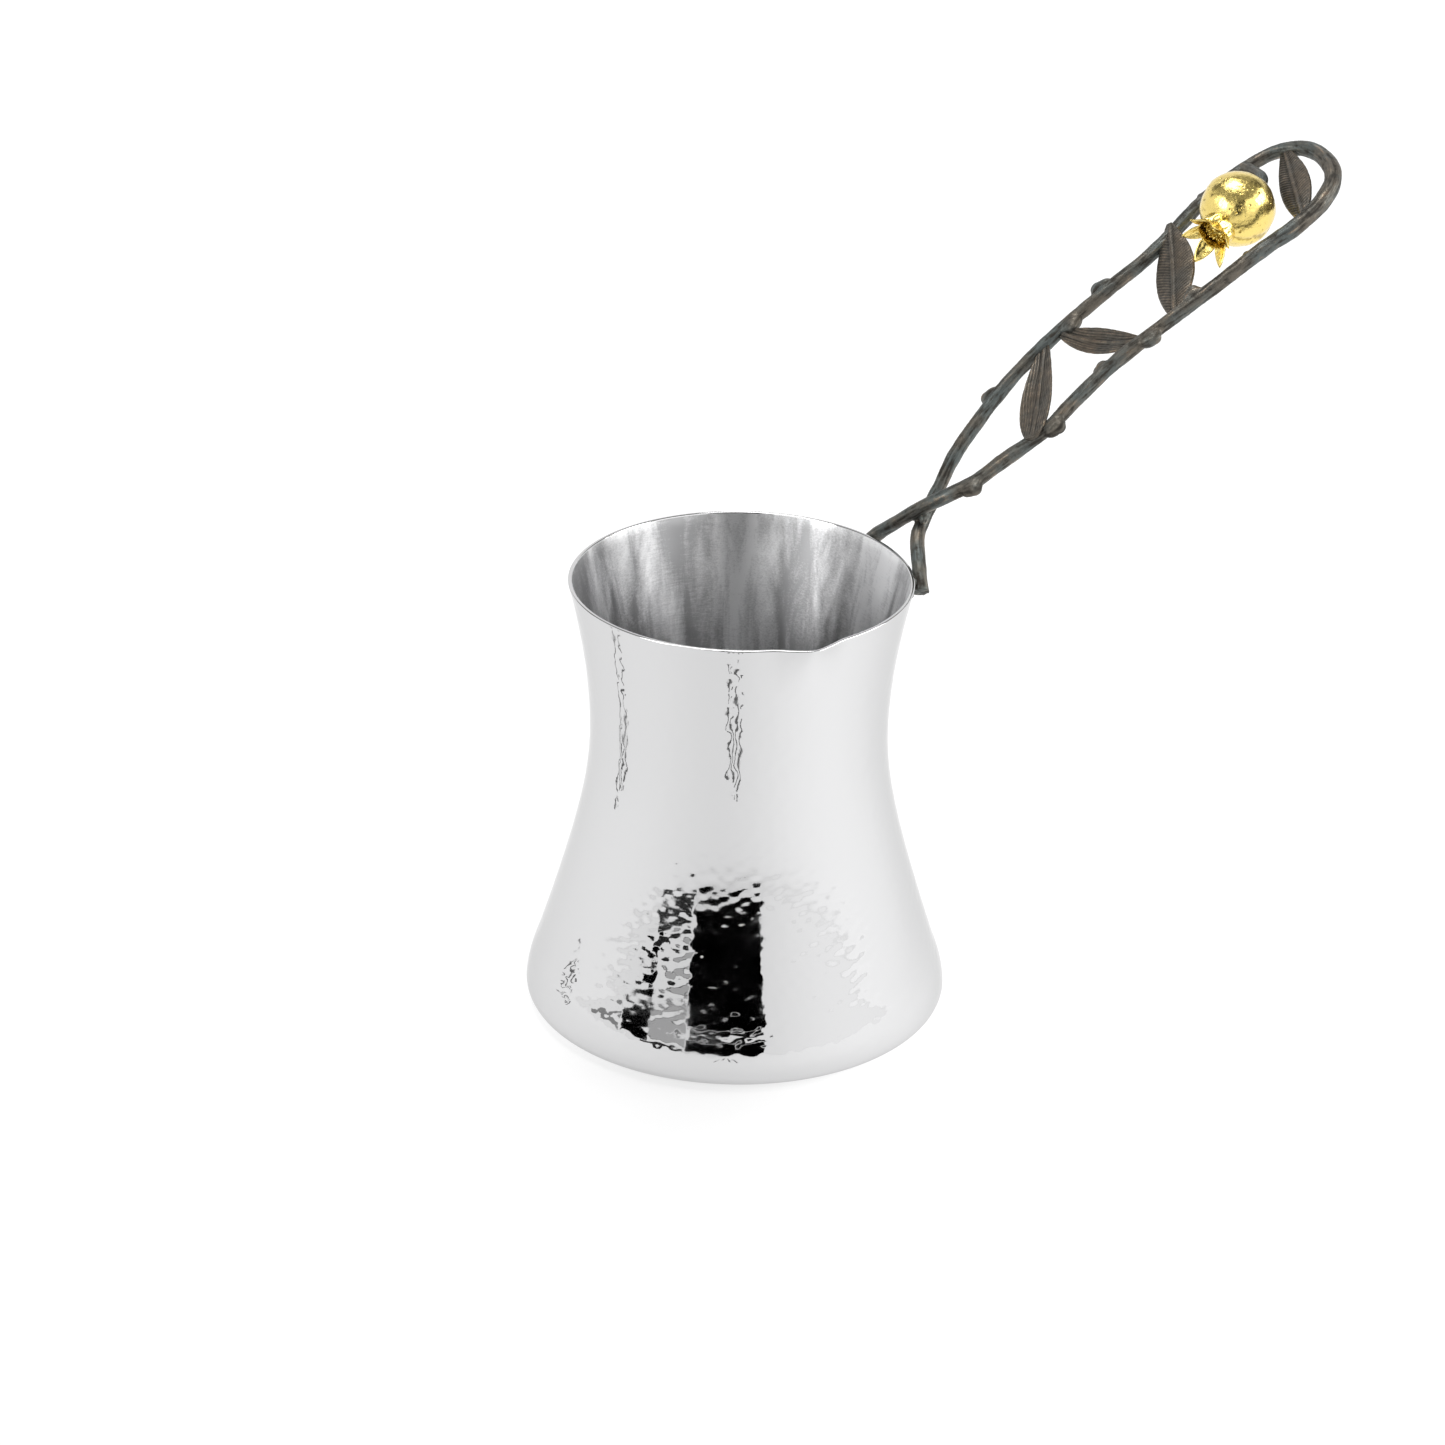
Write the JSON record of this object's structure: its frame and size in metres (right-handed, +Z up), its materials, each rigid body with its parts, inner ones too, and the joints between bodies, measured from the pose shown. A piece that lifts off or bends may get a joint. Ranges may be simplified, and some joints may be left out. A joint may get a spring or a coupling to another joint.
{
  "type": "long-handled coffee pot",
  "caption": "Hammered steel coffee pot with a narrow waist, wide base and pouring lip, on a looped bronze twig handle with leaves and a gilt fruit.",
  "frame": {"origin": "centre of the pot's flat underside", "axes": "+Z up, +X from the pot's middle along the handle, -Y towards the pouring lip"},
  "size_m": [0.1847, 0.091, 0.1733],
  "materials": {
    "steel": "hammered and mirror polished outside, brushed inside",
    "bronze": "dark oxidised, rubbed copper-brown on the high spots",
    "gold": "polished gold plate with a pitted cast surface"
  },
  "bodies": {
    "root": {"pot_wall": "steel", "pot_base": "steel", "handle_twig": "bronze", "braze_near": "bronze", "braze_far": "bronze", "braze_crossing": "bronze", "leaf_1": "bronze", "leaf_2": "bronze", "leaf_3": "bronze", "leaf_4": "bronze", "fruit_stem": "bronze", "fruit_body": "gold", "fruit_crown": "gold", "fruit_stamens": "gold"}
  },
  "joints": []
}
